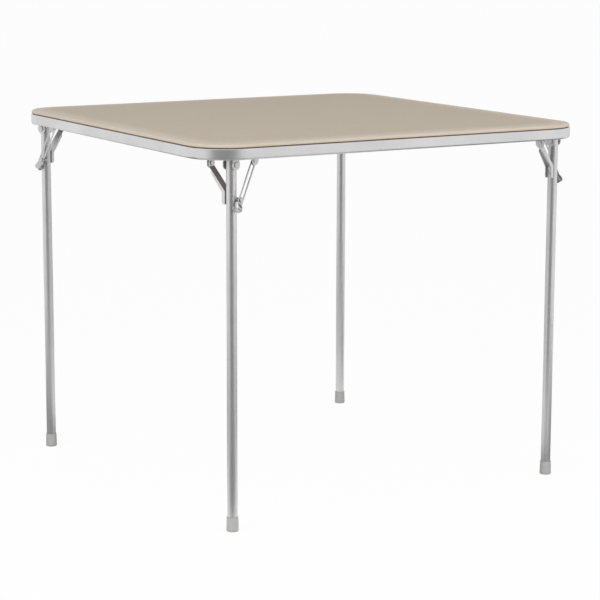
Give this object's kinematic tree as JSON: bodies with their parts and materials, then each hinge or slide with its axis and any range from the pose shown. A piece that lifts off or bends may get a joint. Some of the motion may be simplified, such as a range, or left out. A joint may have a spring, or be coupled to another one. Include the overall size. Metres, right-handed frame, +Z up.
{
  "type": "folding card table",
  "caption": "Square folding card table with a thin padded vinyl top, a steel apron ring and round tube legs that fold flat under the top behind slotted lock straps.",
  "frame": {"origin": "middle of the table's footprint, on the floor", "axes": "+Z up through the top, -Y towards the front rail, +X to the right along it"},
  "size_m": [0.838, 0.838, 0.718],
  "materials": {
    "vinyl": "soft matt vinyl, light rolled edge",
    "foam": "open foam, hidden",
    "hardboard": "smooth brown hardboard",
    "painted_steel": "satin silver-grey powder coat",
    "strap_steel": "satin plated strap",
    "zinc": "bright zinc plate",
    "foot_plastic": "moulded pale grey plastic"
  },
  "bodies": {
    "table_top": {"vinyl_cover": "vinyl", "foam_pad": "foam", "top_board": "hardboard", "cover_staples": "zinc", "apron_frame": "painted_steel", "splice_plate": "painted_steel", "splice_rivets": "zinc", "panel_screws": "zinc", "hinge_bracket_front_left": "painted_steel", "bracket_rivets_front_left": "zinc", "hinge_pin_front_left": "zinc", "stay_pin_front_left": "zinc", "strap_pivot_front_left": "zinc", "hinge_bracket_front_right": "painted_steel", "bracket_rivets_front_right": "zinc", "hinge_pin_front_right": "zinc", "stay_pin_front_right": "zinc", "strap_pivot_front_right": "zinc", "hinge_bracket_back_right": "painted_steel", "bracket_rivets_back_right": "zinc", "hinge_pin_back_right": "zinc", "stay_pin_back_right": "zinc", "strap_pivot_back_right": "zinc", "hinge_bracket_back_left": "painted_steel", "bracket_rivets_back_left": "zinc", "hinge_pin_back_left": "zinc", "stay_pin_back_left": "zinc", "strap_pivot_back_left": "zinc"},
    "leg_front_left": {"leg_tube_front_left": "painted_steel", "foot_cap_front_left": "foot_plastic", "side_stay_front_left": "painted_steel", "stay_rivets_front_left": "zinc", "stud_boss_front_left": "zinc"},
    "leg_front_right": {"leg_tube_front_right": "painted_steel", "foot_cap_front_right": "foot_plastic", "side_stay_front_right": "painted_steel", "stay_rivets_front_right": "zinc", "stud_boss_front_right": "zinc"},
    "leg_back_right": {"leg_tube_back_right": "painted_steel", "foot_cap_back_right": "foot_plastic", "side_stay_back_right": "painted_steel", "stay_rivets_back_right": "zinc", "stud_boss_back_right": "zinc"},
    "leg_back_left": {"leg_tube_back_left": "painted_steel", "foot_cap_back_left": "foot_plastic", "side_stay_back_left": "painted_steel", "stay_rivets_back_left": "zinc", "stud_boss_back_left": "zinc"},
    "strap_front_left": {"lock_strap_front_left": "strap_steel"},
    "strap_front_right": {"lock_strap_front_right": "strap_steel"},
    "strap_back_right": {"lock_strap_back_right": "strap_steel"},
    "strap_back_left": {"lock_strap_back_left": "strap_steel"},
    "stud_front_left": {"lock_stud_front_left": "zinc"},
    "stud_front_right": {"lock_stud_front_right": "zinc"},
    "stud_back_right": {"lock_stud_back_right": "zinc"},
    "stud_back_left": {"lock_stud_back_left": "zinc"}
  },
  "joints": [
    {"name": "leg_fold_front_left", "type": "hinge", "parent": "table_top", "child": "leg_front_left", "pos_m": [-0.354, -0.389, 0.6785], "axis": [0.3584, -0.9336, 0], "range_deg": [0, 90]},
    {"name": "leg_fold_front_right", "type": "hinge", "parent": "table_top", "child": "leg_front_right", "pos_m": [0.389, -0.354, 0.6785], "axis": [0.9336, 0.3584, 0], "range_deg": [0, 90]},
    {"name": "leg_fold_back_right", "type": "hinge", "parent": "table_top", "child": "leg_back_right", "pos_m": [0.354, 0.389, 0.6785], "axis": [-0.3584, 0.9336, 0], "range_deg": [0, 90]},
    {"name": "leg_fold_back_left", "type": "hinge", "parent": "table_top", "child": "leg_back_left", "pos_m": [-0.389, 0.354, 0.6785], "axis": [-0.9336, -0.3584, 0], "range_deg": [0, 90]},
    {"name": "strap_swing_front_left", "type": "hinge", "parent": "table_top", "child": "strap_front_left", "pos_m": [-0.31479, -0.37395, 0.684], "axis": [0.3584, -0.9336, 0], "range_deg": [0, 117.02]},
    {"name": "strap_swing_front_right", "type": "hinge", "parent": "table_top", "child": "strap_front_right", "pos_m": [0.37395, -0.31479, 0.684], "axis": [0.9336, 0.3584, 0], "range_deg": [0, 117.02]},
    {"name": "strap_swing_back_right", "type": "hinge", "parent": "table_top", "child": "strap_back_right", "pos_m": [0.31479, 0.37395, 0.684], "axis": [-0.3584, 0.9336, 0], "range_deg": [0, 117.02]},
    {"name": "strap_swing_back_left", "type": "hinge", "parent": "table_top", "child": "strap_back_left", "pos_m": [-0.37395, 0.31479, 0.684], "axis": [-0.9336, -0.3584, 0], "range_deg": [0, 117.02]},
    {"name": "stud_slide_front_left", "type": "slide", "parent": "strap_front_left", "child": "stud_front_left", "axis": [0.4437, 0.1703, 0.8799], "range_m": [0, 0.0569]},
    {"name": "stud_slide_front_right", "type": "slide", "parent": "strap_front_right", "child": "stud_front_right", "axis": [-0.1703, 0.4437, 0.8799], "range_m": [0, 0.0569]},
    {"name": "stud_slide_back_right", "type": "slide", "parent": "strap_back_right", "child": "stud_back_right", "axis": [-0.4437, -0.1703, 0.8799], "range_m": [0, 0.0569]},
    {"name": "stud_slide_back_left", "type": "slide", "parent": "strap_back_left", "child": "stud_back_left", "axis": [0.1703, -0.4437, 0.8799], "range_m": [0, 0.0569]}
  ],
  "couplings": [
    {"joint": "strap_swing_front_left", "follows": "leg_fold_front_left", "ratio": 1.3001},
    {"joint": "strap_swing_front_right", "follows": "leg_fold_front_right", "ratio": 1.3001},
    {"joint": "strap_swing_back_right", "follows": "leg_fold_back_right", "ratio": 1.3001},
    {"joint": "strap_swing_back_left", "follows": "leg_fold_back_left", "ratio": 1.3001},
    {"joint": "stud_slide_front_left", "follows": "leg_fold_front_left", "m_per_rad": 0.036191},
    {"joint": "stud_slide_front_right", "follows": "leg_fold_front_right", "m_per_rad": 0.036191},
    {"joint": "stud_slide_back_right", "follows": "leg_fold_back_right", "m_per_rad": 0.036191},
    {"joint": "stud_slide_back_left", "follows": "leg_fold_back_left", "m_per_rad": 0.036191}
  ]
}
